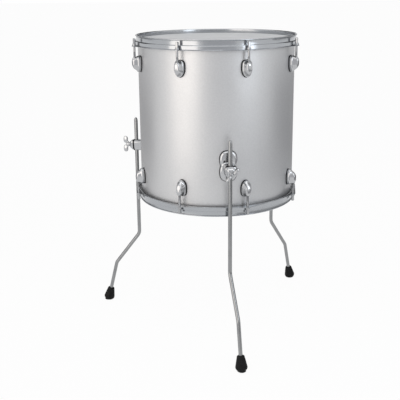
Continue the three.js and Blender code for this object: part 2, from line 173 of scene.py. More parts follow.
# Turns a closed outline about Z; points on the axis become one point.
# A reach function says how far out a point lies at a turn, where that isn't its radius
def latheMesh(name, corners, segments, degrees=sharpDegrees, steps=cornerSteps, reach=None):
    points = []
    rows = []
    for radius, height in roundedProfile(corners, steps):
        if radius < onAxis:
            rows.append([len(points)] * segments)
            points.append((0, 0, height))
            continue
        rows.append(range(len(points), len(points) + segments))
        for turn in turnsOf(segments):
            out = reach(radius, turn, height) if reach else radius
            points.append(roundPoint(out, turn, height))
    faces = []
    for level, row in enumerate(rows):
        above = rows[(level + 1) % len(rows)]
        for step in range(segments):
            after = (step + 1) % segments
            face = list(dict.fromkeys([row[step], row[after], above[after], above[step]]))
            if len(face) > 2:
                faces.append(face)
    return newMesh(name, points, faces, degrees)


# Skins rings of equal counts and closes both ends
def loftMesh(name, rings, degrees=sharpDegrees):
    count = len(rings[0])
    points = [point for ring in rings for point in ring]
    faces = []
    for level in range(len(rings) - 1):
        for step in range(count):
            here = level * count + step
            after = level * count + (step + 1) % count
            faces.append((here, after, after + count, here + count))
    faces.append(range(count))
    faces.append(range(len(points) - count, len(points)))
    return newMesh(name, points, faces, degrees)


# Several closed forms as one mesh
def joinMeshes(name, forms, degrees=sharpDegrees):
    points = []
    faces = []
    for form in forms:
        start = len(points)
        points += [vertex.co for vertex in form.vertices]
        faces += [[start + index for index in face.vertices] for face in form.polygons]
    return newMesh(name, points, faces, degrees)


# Material helpers

# Gives each input, told by its name or number, a value or another node's output
def setInputs(tree, node, values):
    for label, value in values.items():
        if isinstance(value, bpy.types.NodeSocket):
            tree.links.new(value, node.inputs[label])
        else:
            node.inputs[label].default_value = value


def addNode(tree, kind, values):
    node = tree.nodes.new(kind)
    setInputs(tree, node, values)
    return node


def mathNode(tree, operation, first, second):
    node = addNode(tree, "ShaderNodeMath", {0: first, 1: second})
    node.operation = operation
    return node.outputs[0]


# A pattern lies on a piece by the piece's own coordinates
def patternPlace(tree):
    return tree.nodes.new("ShaderNodeTexCoord").outputs["Object"]


def newGroup(name, inputs, result):
    group = bpy.data.node_groups.new(name, "ShaderNodeTree")
    for label, value in inputs.items():
        socket = group.interface.new_socket(name=label, in_out="INPUT", socket_type="NodeSocketFloat")
        socket.default_value = value
    group.interface.new_socket(name=result, in_out="OUTPUT", socket_type="NodeSocketFloat")
    entry = group.nodes.new("NodeGroupInput")
    leave = group.nodes.new("NodeGroupOutput")
    return group, entry.outputs, leave.inputs


# Spreads a noise over the range from Low to High
def spreadOut(group, entry, leave, noise, values):
    spread = addNode(group, "ShaderNodeMapRange", {
        "Value": noise.outputs["Fac"], "To Min": entry["Low"], "To Max": entry["High"], **values
    })
    group.links.new(spread.outputs["Result"], leave["Value"])


# Soft cloudy change of a value between Low and High
def makeClouds():
    group, entry, leave = newGroup("softClouds", {"Scale": 12, "Low": 0.2, "High": 0.4}, "Value")
    noise = addNode(group, "ShaderNodeTexNoise", {
        "Vector": patternPlace(group), "Scale": entry["Scale"], "Detail": 3
    })
    spreadOut(group, entry, leave, noise, {"From Min": 0.32, "From Max": 0.68})
    return group


# Fine grain as a height, for flakes, coating and moulded rubber
def makeGrain():
    group, entry, leave = newGroup("fineGrain", {"Scale": 1800, "Amount": 1, "Sparse": 0.5}, "Height")
    layout = {"Vector": patternPlace(group), "Scale": entry["Scale"]}
    noise = addNode(group, "ShaderNodeTexNoise", {**layout, "Detail": 4, "Roughness": 0.6})
    cells = addNode(group, "ShaderNodeTexVoronoi", layout)
    blended = mathNode(group, "MULTIPLY", cells.outputs["Distance"], entry["Sparse"])
    summed = mathNode(group, "ADD", noise.outputs["Fac"], blended)
    group.links.new(mathNode(group, "MULTIPLY", summed, entry["Amount"]), leave["Height"])
    return group


# Fine scratches: Across is how close they lie up the piece, Along how close round it
def makeHairlines():
    inputs = {"Across": 900, "Along": 14, "Low": 0.1, "High": 0.2}
    group, entry, leave = newGroup("hairlines", inputs, "Value")
    closeness = {"X": entry["Along"], "Y": entry["Along"], "Z": entry["Across"]}
    scale = addNode(group, "ShaderNodeCombineXYZ", closeness)
    stretch = addNode(group, "ShaderNodeVectorMath", {0: patternPlace(group), 1: scale.outputs["Vector"]})
    stretch.operation = "MULTIPLY"
    noise = addNode(group, "ShaderNodeTexNoise", {
        "Vector": stretch.outputs["Vector"], "Scale": 1, "Detail": 2
    })
    spreadOut(group, entry, leave, noise, {})
    return group


softClouds = makeClouds()
fineGrain = makeGrain()
hairlines = makeHairlines()


def placeGroup(tree, group, values):
    node = tree.nodes.new("ShaderNodeGroup")
    node.node_tree = group
    setInputs(tree, node, values)
    return node.outputs[0]


def newMaterial(name):
    material = bpy.data.materials.new(name)
    material.use_nodes = True
    return material, material.node_tree, material.node_tree.nodes["Principled BSDF"]


# Two near colours that drift into each other, a changing roughness and, on some, a fine grain,
# which is given by its scale and strength
def makeFinish(name, look):
    material, tree, shader = newMaterial(name)
    mix = tree.nodes.new("ShaderNodeMix")
    mix.data_type = "RGBA"
    first, second = [(*color, 1) for color in look["colors"]]
    cloud = placeGroup(tree, softClouds, {"Scale": look["driftScale"], "Low": 0, "High": 1})
    setInputs(tree, mix, {"Factor": cloud, "A": first, "B": second})
    roughness = placeGroup(tree, *look["roughness"])
    setInputs(tree, shader, {**look["sockets"], "Base Color": mix.outputs["Result"], "Roughness": roughness})
    if "grain" in look:
        scale, strength = look["grain"]
        grain = placeGroup(tree, fineGrain, {"Scale": scale})
        bump = addNode(tree, "ShaderNodeBump", {"Height": grain, "Strength": strength, "Distance": 0.2 * mm})
        tree.links.new(bump.outputs["Normal"], shader.inputs["Normal"])
    return material


# Chrome mirrors a white studio, so each tint is painted shade that sets how dark a piece's plating looks;
# the rods and hoops get darker ones
def makeChrome(name, tint, low, high, scale=20):
    deeperShare = 0.97
    return makeFinish(name, {
        "sockets": {"Metallic": 1},
        "colors": (tint, [value * deeperShare for value in tint]),
        "driftScale": 35,
        "roughness": (softClouds, {"Scale": scale, "Low": low, "High": high}),
    })


# Bare maple inside the shell, with its grain along the drum
def makeWood():
    look = {
        "colors": ((0.46, 0.30, 0.16), (0.66, 0.48, 0.29)),
        "grainStretch": (1, 1, 0.06),
        "grainScale": 180,
        "grainDetail": 5,
        "roughness": 0.5,
    }
    material, tree, shader = newMaterial("bareMaple")
    stretch = addNode(tree, "ShaderNodeMapping", {
        "Vector": patternPlace(tree), "Scale": look["grainStretch"]
    })
    noise = addNode(tree, "ShaderNodeTexNoise", {
        "Vector": stretch.outputs["Vector"], "Scale": look["grainScale"], "Detail": look["grainDetail"]
    })
    ramp = addNode(tree, "ShaderNodeValToRGB", {"Fac": noise.outputs["Fac"]})
    for stop, color in zip(ramp.color_ramp.elements, look["colors"]):
        stop.color = (*color, 1)
    setInputs(tree, shader, {"Base Color": ramp.outputs["Color"], "Roughness": look["roughness"]})
    return material


# Satin lacquer with fine metal flakes under a thin clear coat
silverLacquer = makeFinish("silverLacquer", {
    "sockets": {"Metallic": 0.86, "Coat Weight": 0.2, "Coat Roughness": 0.22},
    "colors": ((0.585, 0.59, 0.60), (0.55, 0.555, 0.565)),
    "driftScale": 260,
    "roughness": (softClouds, {"Scale": 9, "Low": 0.40, "High": 0.45}),
    "grain": (2600, 0.1),
})
boltChrome = makeChrome("brightChrome", (0.47, 0.485, 0.505), low=0.10, high=0.16)
rodChrome = makeChrome("rodChrome", (0.38, 0.385, 0.395), low=0.14, high=0.22)
hoopChrome = makeChrome("hoopChrome", (0.405, 0.42, 0.44), low=0.14, high=0.20)
castChrome = makeChrome("castChrome", (0.47, 0.477, 0.49), low=0.10, high=0.17, scale=40)
# The legs are satin plated, and drawing them has left fine lines along each rod; their dark tint is painted
# shade too
legChrome = makeFinish("satinChrome", {
    "sockets": {"Metallic": 1},
    "colors": ((0.305, 0.31, 0.315), (0.265, 0.27, 0.275)),
    "driftScale": 60,
    "roughness": (hairlines, {"Across": 30, "Along": 900, "Low": 0.17, "High": 0.28}),
})
# The heads' film has a rough sprayed coat
filmLook = makeFinish("coatedFilm", {
    "sockets": {},
    "colors": ((0.765, 0.77, 0.775), (0.72, 0.725, 0.735)),
    "driftScale": 14,
    "roughness": (softClouds, {"Scale": 30, "Low": 0.42, "High": 0.55}),
    "grain": (1400, 0.25),
})
# The head rings' aluminium is darkened as painted shade, for the narrow gap between shell and hoop where the
# rings show
ringLookPaintedShade = makeFinish("plainAluminium", {
    "sockets": {"Metallic": 1},
    "colors": ((0.31, 0.315, 0.32), (0.26, 0.265, 0.27)),
    "driftScale": 50,
    "roughness": (hairlines, {"Across": 2400, "Along": 10, "Low": 0.28, "High": 0.4}),
})
blackRubber = makeFinish("blackRubber", {
    "sockets": {"Specular IOR Level": 0.15},
    "colors": ((0.004, 0.004, 0.0044), (0.009, 0.009, 0.0095)),
    "driftScale": 90,
    "roughness": (softClouds, {"Scale": 60, "Low": 0.5, "High": 0.68}),
    "grain": (1500, 0.3),
})
bareMaple = makeWood()
print("materials made")


# Shell

shell = {
    "edgeRound": 3 * mm,
    "bevelDrop": 4.2 * mm,
    "soft": 1.2 * mm,
    "rowShare": 0.3,
}


def makeShell():
    outer = drum["radius"]
    inner = outer - drum["wall"]
    peak = outer - shell["edgeRound"]
    half = drum["half"]
    soft = shell["soft"]
    row = shell["rowShare"] * half  # two plain rows keep the shading of the wide side straight
    corners = [
        (inner, half - shell["bevelDrop"], soft),
        (peak, half, soft / 2),
        (outer, half - shell["edgeRound"], soft),
        (outer, row),
        (outer, -row),
        (outer, shell["edgeRound"] - half, soft),
        (peak, -half, soft / 2),
        (inner, shell["bevelDrop"] - half, soft),
        (inner, 0),
    ]
    mesh = dress(latheMesh("shell", corners, drum["segments"]), silverLacquer, bareMaple)
    middle = (inner + outer) / 2
    for face in mesh.polygons:
        if math.hypot(face.center.x, face.center.y) < middle:
            face.material_index = 1
    addPiece("shellSkin", mesh, stationMatrix(0, drum["middle"]), "drum", "shell_finish", "shell")


makeShell()


# Heads, their rings and the hoops are built for the upper side and turned over for the lower

head = {
    "gap": 0.3 * mm,
    "film": 0.5 * mm,
    "crownRound": 1.5 * mm,
    "skirtRound": 2 * mm,
    "rowShares": (0.8, 0.5),
    "inRing": 3 * mm,
    "ringDrop": 4.4 * mm,
    "ringHeight": 6.4 * mm,
    "ringWidth": 4.6 * mm,
    "ringSoft": 0.9 * mm,
}
filmInside = drum["radius"] + head["gap"]
filmOutside = filmInside + head["film"]
ringInside = filmOutside + head["gap"]
ringOutside = ringInside + head["ringWidth"]
ringTop = drum["half"] - head["ringDrop"]
ringBottom = ringTop - head["ringHeight"]


def makeFilm():
    bend = shell["edgeRound"]
    peak = drum["radius"] - bend
    under = drum["half"] + head["gap"]
    top = under + head["film"]
    skirt = ringTop - head["inRing"]
    corners = [
        (0, under),
        (peak, under, head["crownRound"]),
        (filmInside, under - bend, head["skirtRound"]),
        (filmInside, skirt),
        (filmOutside, skirt),
        (filmOutside, under - bend + head["film"], head["skirtRound"]),
        (peak + head["film"], top, head["crownRound"]),
    ]
    corners += [(share * peak, top) for share in head["rowShares"]]
    corners.append((0, top))
    return dress(latheMesh("film", corners, drum["segments"], degrees=50, steps=5), filmLook)


def makeRing():
    soft = head["ringSoft"]
    corners = [
        (ringInside, ringBottom, soft / 2),
        (ringOutside - soft, ringBottom, soft),
        (ringOutside, ringBottom + soft, soft),
        (ringOutside, ringTop - soft, soft),
        (ringOutside - soft, ringTop, soft),
        (ringInside, ringTop, soft / 2),
    ]
    return dress(latheMesh("ring", corners, drum["segments"]), ringLookPaintedShade)


hoop = {
    "sheet": 2.2 * mm,
    "sheetEdge": 0.99 * mm,
    "rise": 11.6 * mm,
    "throatGap": 0.6 * mm,
    "throatRound": 1.92 * mm,
    "lip": 2 * mm,
    "underLip": 0.8 * mm,
    "crease": 0.5 * mm,
    "stepRound": 2.4 * mm,
    "stepInside": 0.96 * mm,
    "belowRing": 3.1 * mm,
    "rim": 1.8 * mm,
    "rimInside": 1.616 * mm,
    "rimDrop": 1.6 * mm,
    "ear": 6.7 * mm,
    "rodToWall": 6.9 * mm,
    "stepsPerEar": 48,
}
throatInside = filmOutside + hoop["throatGap"]
throatOutside = throatInside + hoop["sheet"]
stepLow = ringTop + head["gap"]
skirtInside = ringOutside + head["gap"]
skirtOutside = skirtInside + hoop["sheet"]
rodCircle = skirtOutside + hoop["rodToWall"]
flangeRadius = skirtOutside + hoop["rim"]
flangeBottom = ringBottom - hoop["belowRing"]
flangeTop = flangeBottom + hoop["sheet"]


# How far the flange reaches at an angle from the nearest ear
def flangeReach(turn):
    spacing = fullTurn / drum["rods"]
    off = abs((turn + spacing / 2) % spacing - spacing / 2)
    tangent = math.acos((flangeRadius - hoop["ear"]) / rodCircle)
    earEnd = math.atan2(hoop["ear"] * math.sin(tangent), rodCircle + hoop["ear"] * math.cos(tangent))
    if off < earEnd:
        side = rodCircle * math.sin(off)
        return rodCircle * math.cos(off) + math.sqrt(hoop["ear"] ** 2 - side ** 2)
    if off < tangent:
        return flangeRadius / math.cos(tangent - off)
    return flangeRadius


# Only the flange's outer rim follows the ears
def hoopReach(radius, turn, height):
    if radius > skirtOutside + hoop["rimInside"] and height < stepLow - hoop["rimDrop"]:
        return radius + flangeReach(turn) - flangeRadius
    return radius


def makeHoop():
    edge = hoop["sheetEdge"]
    crease = hoop["crease"]
    lipTop = drum["half"] + hoop["rise"]
    lipLow = lipTop - hoop["sheet"]
    lipOut = throatOutside + hoop["lip"]
    stepHigh = stepLow + hoop["sheet"]
    corners = [
        (throatInside, stepLow, edge),
        (throatInside, lipTop, hoop["throatRound"]),
        (lipOut, lipTop, edge),
        (lipOut, lipLow, edge),
        (throatOutside, lipLow - hoop["underLip"], crease),
        (throatOutside, stepHigh, crease),
        (skirtOutside, stepHigh, hoop["stepRound"]),
        (skirtOutside, flangeTop, crease),
        (flangeRadius, flangeTop, edge),
        (flangeRadius, flangeBottom, edge),
        (skirtInside, flangeBottom, edge),
        (skirtInside, stepLow, hoop["stepInside"]),
    ]
    count = drum["rods"] * hoop["stepsPerEar"]
    return dress(latheMesh("hoop", corners, count, degrees=40, reach=hoopReach), hoopChrome)


def placeHeads():
    film = makeFilm()
    ring = makeRing()
    hoopMesh = makeHoop()
    firstLug = azimuthOf(joints["top_rod_1_turn"]["pos_m"])
    for label, flipped in (("batter", False), ("resonant", True)):
        place = stationMatrix(firstLug, drum["middle"], flipped)
        addPiece(label + "Film", film, place, "drum", "head_film", label + "_head")
        addPiece(label + "Ring", ring, place, "drum", "head_ring", label + "_head_ring")
        addPiece(label + "HoopSkin", hoopMesh, place, "drum", "chrome", label + "_hoop")


placeHeads()
print("shell, heads and hoops made")


# Outlines and rings of the castings

def power(value, exponent):
    return math.copysign(abs(value) ** exponent, value)


# Points at even distances round a curve that is given by a turn, from -1 to 1 each way
def evenOutline(curve, count, tries=4000):
    fine = [Vector(curve(fullTurn * step / tries)) for step in range(tries + 1)]
    lengths = [0]
    for before, after in zip(fine, fine[1:]):
        lengths.append(lengths[-1] + (after - before).length)
    points = []
    place = 0
    for step in range(count):
        wanted = lengths[-1] * step / count
        while lengths[place + 1] < wanted:
            place += 1
        points.append(fine[place])
    return points


# One ring of a casting: onShell rings follow the drum's curve, the others lie flat
def castRing(outline, reach, width, height, lift=0, onShell=False):
    ring = []
    for x, z in outline:
        x *= width / 2
        out = math.sqrt(reach ** 2 - x ** 2) if onShell else reach
        ring.append(Vector((x, -out, z * height / 2 + lift)))
    return ring


seat = {
    "gap": 0.05 * mm,
    "gasket": 1.5 * mm,
    "border": 1 * mm,
    # depth share and width share of a gasket's levels
    "gasketShares": [(0, 0.7), (0, 1), (0.7, 1), (1, 0.985), (1, 0.7)],
}
castingBase = drum["radius"] + seat["gasket"] + seat["gap"]


# The foot of a casting on its gasket, from levels of rise, width share and height share
def seatRings(outline, width, height, seatShares, lift=0):
    return [
        castRing(outline, castingBase + rise, width * wide, height * tall, lift, True)
        for rise, wide, tall in seatShares
    ]


def makeGasket(name, outline, width, height):
    inner = drum["radius"] + seat["gap"]
    rings = [
        castRing(outline, inner + seat["gasket"] * depthShare, width * share, height * share, 0, True)
        for depthShare, share in seat["gasketShares"]
    ]
    return dress(loftMesh(name, rings, degrees=40), blackRubber)


# Ridges of a thread, as corners of a lathe's outline
def threadCorners(radius, thread, start, end):
    corners = []
    for turn in range(int((end - start) / thread["pitch"])):
        low = start + turn * thread["pitch"]
        corners.append((radius - thread["depth"], low + thread["root"]))
        corners.append((radius, low + thread["crest"]))
    return corners


# Lugs: an egg shaped casting over a rubber gasket that follows the shell's curve

lug = {
    "width": 24.6 * mm,
    "height": 40.1 * mm,
    "standOff": 21.7 * mm,
    "fromEdge": 37.3 * mm,
    "bore": 3.3 * mm,
    "collar": 5.3 * mm,
    "collarDrop": 4.2 * mm,
    "collarSoft": 1 * mm,
    "boreDeep": 3 * mm,
    "collarLowShare": 0.2,
    "nearShare": 0.55,
    "farShare": 1.06,
    "tallShare": 0.30,
    "leanFromShare": 0.42,
    "leanShare": 0.55,
    "leanPower": 1.8,
    "seatShares": [(0, 0.5, 0.5), (0, 0.98, 0.985), (0.6 * mm, 1, 1)],
    # stand-off share and width share: a thin brim, sloping cheeks, then a nearly flat face
    "faceShares": [
        (0.26, 1.00), (0.33, 0.995), (0.375, 0.975), (0.40, 0.94), (0.415, 0.905), (0.44, 0.88),
        (0.55, 0.81), (0.68, 0.72), (0.80, 0.635), (0.88, 0.575), (0.925, 0.53), (0.955, 0.485),
        (0.972, 0.43), (0.985, 0.36), (0.994, 0.28), (1.0, 0.14),
    ],
    "steps": 72,
}
# The end nearest the hoop, as a height over the shell's middle
lugNearEnd = drum["half"] - lug["fromEdge"]
lugMiddle = lugNearEnd - lug["height"] / 2


def lugCurve(turn):
    share = lug["nearShare"] if math.sin(turn) > 0 else lug["farShare"]
    return power(math.cos(turn), share), power(math.sin(turn), share)


lugOutline = evenOutline(lugCurve, lug["steps"])


# Lets a lug's face fall back towards its far end, more the further it stands out
def leanBack(ring, reachShare):
    above = max(reachShare - lug["leanFromShare"], 0) / (1 - lug["leanFromShare"])
    for point in ring:
        down = max(-point.z / (lug["height"] / 2), 0)
        point.y += lug["standOff"] * lug["leanShare"] * above * down ** lug["leanPower"]
    return ring


def makeLug():
    width = lug["width"]
    height = lug["height"]
    rings = seatRings(lugOutline, width, height, lug["seatShares"])
    for reachShare, share in lug["faceShares"]:
        reach = drum["radius"] + lug["standOff"] * reachShare
        tall = share + (1 - share) * lug["tallShare"]
        rings.append(leanBack(castRing(lugOutline, reach, width * share, height * tall), reachShare))
    body = loftMesh("lugBody", rings)
    body.transform(shift(0, lugMiddle))
    low = lugMiddle + lug["collarLowShare"] * height
    top = lugNearEnd - lug["collarDrop"]
    collar = latheMesh("collar", [
        (lug["bore"], low),
        (lug["collar"], low),
        (lug["collar"], top, lug["collarSoft"]),
        (lug["bore"], top, lug["collarSoft"] / 2),
        (lug["bore"], top - lug["boreDeep"]),
    ], segments=32)
    collar.transform(shift(rodCircle))
    return dress(joinMeshes("lug", (body, collar), degrees=44), castChrome)


# Tension rods: a threaded shaft, a washer, a collar and a square key head

rod = {
    "shaft": 2.95 * mm,
    "inLug": 20 * mm,
    "overLug": 11 * mm,
    "thread": {"pitch": 0.8 * mm, "depth": 0.35 * mm, "root": 0.08 * mm, "crest": 0.4 * mm},
    "washer": 5.5 * mm,
    "washerThick": 1.6 * mm,
    "washerSoft": 0.4 * mm,
    "collar": 4.6 * mm,
    "collarHigh": 3.4 * mm,
    "collarFlare": 0.3 * mm,
    "collarFoot": 1 * mm,
    "collarFootSoft": 0.5 * mm,
    "collarSoft": 0.9 * mm,
    "key": 6.2 * mm,
    "keyHigh": 13 * mm,
    "keySoft": 0.8 * mm,
    "keySink": 1 * mm,
    # how far below the key's top, and the share of its width there
    "keyShares": [(1.4 * mm, 1), (0.5 * mm, 0.9), (0, 0.66)],
}


# A square with round corners
def keyRing(height, share):
    soft = rod["keySoft"]
    side = rod["key"] / 2 - soft
    ring = []
    for corner in range(4):
        middle = quarterTurn * (corner + 1 / 2)
        for step in range(cornerSteps + 1):
            turn = quarterTurn * (corner + step / cornerSteps)
            x = math.cos(turn) * soft + math.copysign(side, math.cos(middle))
            y = math.sin(turn) * soft + math.copysign(side, math.sin(middle))
            ring.append(Vector((x * share, y * share, height)))
    return ring


def makeRod():
    start = lugNearEnd - rod["inLug"]
    threadTop = lugNearEnd + rod["overLug"]
    washerLow = flangeTop + head["gap"]
    washerHigh = washerLow + rod["washerThick"]
    collarHigh = washerHigh + rod["collarHigh"]
    keyTop = collarHigh + rod["keyHigh"]
    corners = [(0, start), (rod["shaft"] - rod["thread"]["depth"], start)]
    corners += threadCorners(rod["shaft"], rod["thread"], start, threadTop)
    corners += [
        (rod["shaft"], threadTop + rod["thread"]["pitch"]),
        (rod["shaft"], washerLow),
        (rod["washer"], washerLow, rod["washerSoft"]),
        (rod["washer"], washerHigh, rod["washerSoft"]),
        (rod["collar"] + rod["collarFlare"], washerHigh),
        (rod["collar"], washerHigh + rod["collarFoot"], rod["collarFootSoft"]),
        (rod["collar"], collarHigh, rod["collarSoft"]),
        (0, collarHigh),
    ]
    shaft = latheMesh("shaft", corners, segments=28, steps=3)
    rings = [keyRing(collarHigh - rod["keySink"], 1)]
    rings += [keyRing(keyTop - down, share) for down, share in rod["keyShares"]]
    mesh = joinMeshes("tensionRod", (shaft, loftMesh("key", rings)), degrees=35)
    mesh.transform(shift(rodCircle))
    return dress(mesh, rodChrome)


def placeLugsAndRods():
    lugMesh = makeLug()
    rodMesh = makeRod()
    border = 2 * seat["border"]
    gasketMesh = makeGasket("lugGasket", lugOutline, lug["width"] + border, lug["height"] + border)
    for side, flipped in (("top", False), ("bottom", True)):
        for number in range(1, drum["rods"] + 1):
            azimuth = azimuthOf(joints[f"{side}_rod_{number}_turn"]["pos_m"])
            place = stationMatrix(azimuth, drum["middle"], flipped)
            label = f"{side}{number}"
            rodNode = f"tension_rod_{side}_{number}"
            addPiece("lugBody" + label, lugMesh, place, "drum", "chrome", f"lug_{side}_{number}")
            addPiece("lugGasket" + label, gasketMesh, place @ shift(0, lugMiddle), "drum", "rubber")
            addPiece("rodBody" + label, rodMesh, place, f"{side}_rod_{number}", "chrome", rodNode)


placeLugsAndRods()
print("lugs and tension rods made")


# Leg brackets: a waisted plate on the shell, with a block that carries the clamp

plate = {
    "width": 51 * mm,
    "height": 77 * mm,
    "thick": 7 * mm,
    "rise": 6.5 * mm,
    "gasketOver": 0.6 * mm,
    "sideShare": 0.62,
    "waistShare": 0.24,
    "seatShares": [(0, 0.5, 0.5), (0, 0.985, 0.99), (0.5 * mm, 1, 1)],
    # thickness share, width share and height share
    "faceShares": [
        (0.38, 1.0, 1.0), (0.55, 0.985, 0.99), (0.7, 0.955, 0.97), (0.84, 0.905, 0.94),
        (0.94, 0.845, 0.905), (1.0, 0.76, 0.85), (1.0, 0.5, 0.6),
    ],
    "steps": 112,
}


def plateCurve(turn):
    waist = 1 - plate["waistShare"] * (1 - abs(math.sin(turn))) ** 2
    return power(math.cos(turn), plate["sideShare"]) * waist, math.sin(turn)


plateOutline = evenOutline(plateCurve, plate["steps"])


def makeBracketPlate():
    width = plate["width"] - 2 * seat["border"]
    height = plate["height"] - 2 * seat["border"]
    rise = plate["rise"]
    rings = seatRings(plateOutline, width, height, plate["seatShares"], rise)
    for depthShare, widthShare, heightShare in plate["faceShares"]:
        reach = castingBase + plate["thick"] * depthShare
        rings.append(castRing(plateOutline, reach, width * widthShare, height * heightShare, rise))
    return dress(loftMesh("bracketPlate", rings, degrees=30), castChrome)


# Clamp: an eye bolt round the leg, between a block and a cap; its pieces share these sizes
clamp = {
    "legRadius": 5 * mm,
    "legFromShell": 29.5 * mm,
    "legRoom": 0.3 * mm,
    "pastLeg": 0.8 * mm,
    "seam": 0.8 * mm,
    "width": 28.5 * mm,
    "capDepth": 11.8 * mm,
    "cornerShare": 0.5,
    "taperShare": 0.3,
    "outlineSteps": 88,
    "eyeWall": 3.7 * mm,
    "eyeHeight": 8 * mm,
    "eyeRoomUp": 0.5 * mm,
    "stem": 3 * mm,
    "stemRoom": 0.3 * mm,
    "barSteps": 48,
    "cutPast": 5 * mm,
}
legReach = drum["radius"] + clamp["legFromShell"]
channelRadius = clamp["legRadius"] + clamp["legRoom"]
eyeRadius = channelRadius + clamp["eyeWall"]
eyeRoomHalf = clamp["eyeHeight"] / 2 + clamp["eyeRoomUp"]
stemBore = clamp["stem"] + clamp["stemRoom"]
blockFront = legReach + clamp["legRadius"] + clamp["pastLeg"]
capBack = blockFront + clamp["seam"]
capFront = capBack + clamp["capDepth"]


# A rounded square that narrows downwards
def clampCurve(turn):
    height = power(math.sin(turn), clamp["cornerShare"])
    taper = 1 - clamp["taperShare"] * (1 - height) / 2
    return power(math.cos(turn), clamp["cornerShare"]) * taper, height


clampOutline = evenOutline(clampCurve, clamp["outlineSteps"])


def cut(piece, cutter):
    modifier = piece.modifiers.new("cut", "BOOLEAN")
    modifier.operation = "DIFFERENCE"
    modifier.solver = "EXACT"
    modifier.object = cutter
    bpy.context.view_layer.update()
    graph = bpy.context.evaluated_depsgraph_get()
    mesh = bpy.data.meshes.new_from_object(piece.evaluated_get(graph))
    piece.modifiers.clear()
    piece.data = mesh
    bpy.data.objects.remove(cutter)


# An upright bar on the leg's axis, to cut with
def uprightBar(radius, half, steps=clamp["barSteps"]):
    mesh = latheMesh("bar", [(0, -half), (radius, -half), (radius, half), (0, half)], steps)
    mesh.transform(shift(legReach))
    return newObject("bar", mesh)


def slab(side, near, far, half):
    outline = ((-side, -near), (-side, -far), (side, -far), (side, -near))
    rings = [[Vector((x, y, z)) for x, y in outline] for z in (-half, half)]
    return newObject("slab", loftMesh("slab", rings))


block = {
    "height": 32 * mm,
    "eyeRoom": 0.3 * mm,
    "flare": 4 * mm,
    # how far past the plate's face, and how many flares wider and taller
    "footShares": [
        (-5.5 * mm, 2, 1), (0, 2, 1), (0.5 * mm, 1.6, 0.7), (1.5 * mm, 1, 0.35),
        (3 * mm, 0.45, 0.1), (5 * mm, 0, 0),
    ],
    # how far short of the block's end, and how much smaller
    "endSteps": [(1.2 * mm, 0), (0.5 * mm, 0.5 * mm), (0, 1.8 * mm)],
}
# A black rubber liner between block and cap, put there as painted shade for the clamp's dark seam
shadeLiner = {
    "thick": 2.6 * mm,
    "over": 1.2 * mm,
    "inset": 0.6 * mm,
    "soft": 0.4 * mm,
}
cutHalf = block["height"] / 2 + clamp["cutPast"]


# The block and its liner share one room for the leg and the eye bolt
def cutClampRoom(mesh):
    piece = newObject("casting", mesh)
    for radius, half in ((channelRadius, cutHalf), (eyeRadius + block["eyeRoom"], eyeRoomHalf)):
        cut(piece, uprightBar(radius, half))
        cut(piece, slab(radius, legReach, blockFront + clamp["cutPast"], half))
    ready = piece.data
    shade(ready, sharpDegrees)
    ready.materials.clear()
    bpy.data.objects.remove(piece)
    return ready


def makeBracketBlock():
    plateFront = drum["radius"] + seat["gasket"] + plate["thick"]
    height = block["height"] - 2 * shadeLiner["over"]
    end = blockFront - shadeLiner["thick"]
    flare = block["flare"]
    levels = [(plateFront + past, wide * flare, tall * flare) for past, wide, tall in block["footShares"]]
    levels += [(end - short, -less, -less) for short, less in block["endSteps"]]
    rings = [
        castRing(clampOutline, reach, clamp["width"] + wide, height + tall)
        for reach, wide, tall in levels
    ]
    return dress(cutClampRoom(loftMesh("bracketBlock", rings)), castChrome)


# The liner's black rubber is painted shade in the seam between block and cap
def makeClampShadeLiner():
    width = clamp["width"] - shadeLiner["inset"]
    start = blockFront - shadeLiner["thick"]
    soft = shadeLiner["soft"]
    levels = [(start, -2 * soft), (start + soft, 0), (blockFront - soft, 0), (blockFront, -2 * soft)]
    rings = [castRing(clampOutline, reach, width + grow, block["height"] + grow) for reach, grow in levels]
    return dress(cutClampRoom(loftMesh("clampLiner", rings)), blackRubber)


eyeBolt = {
    "soft": 1 * mm,
    "stemInEye": 0.4 * mm,
    "pastNut": 2 * mm,
    "thread": {"pitch": 1.25 * mm, "depth": 0.4 * mm, "root": 0.1 * mm, "crest": 0.6 * mm},
    "threadInCap": 2 * mm,
    "plainEnd": 1 * mm,
    "chamfer": 0.6 * mm,
    "chamferIn": 1 * mm,
}


def makeEyeBolt():
    half = clamp["eyeHeight"] / 2
    soft = eyeBolt["soft"]
    eye = latheMesh("eye", [
        (channelRadius, -half, soft / 2), (eyeRadius, -half, soft),
        (eyeRadius, half, soft), (channelRadius, half, soft / 2),
    ], segments=56)
    eye.transform(shift(legReach))
    root = clamp["stem"] - eyeBolt["thread"]["depth"]
    start = legReach + channelRadius + eyeBolt["stemInEye"]
    end = nutFront + eyeBolt["pastNut"]
    corners = [(0, start), (root, start)]
    corners += threadCorners(
        clamp["stem"], eyeBolt["thread"], capFront - eyeBolt["threadInCap"], end - eyeBolt["plainEnd"]
    )
    corners += [(root, end - eyeBolt["chamfer"]), (clamp["stem"] - eyeBolt["chamferIn"], end), (0, end)]
    stem = latheMesh("stem", corners, segments=28)
    stem.transform(outwards)
    return dress(joinMeshes("eyeBolt", (eye, stem)), boltChrome)


cap = {
    "height": 28 * mm,
    "eyeRoom": 0.5 * mm,
    "tongueHalf": 12.5 * mm,
    "tongueDeep": 4 * mm,
    "tongueInCap": 0.5 * mm,
    "tongueInset": 0.2 * mm,
    "tongueSteps": 64,
    # depth share and width share: a brim, a step, then a dome
    "faceShares": [
        (0, 0.5), (0, 0.97), (0.04, 1.0), (0.30, 1.0), (0.37, 0.985), (0.40, 0.95), (0.42, 0.87),
        (0.46, 0.835), (0.62, 0.80), (0.78, 0.72), (0.90, 0.60), (0.97, 0.50), (1.0, 0.40),
    ],
}


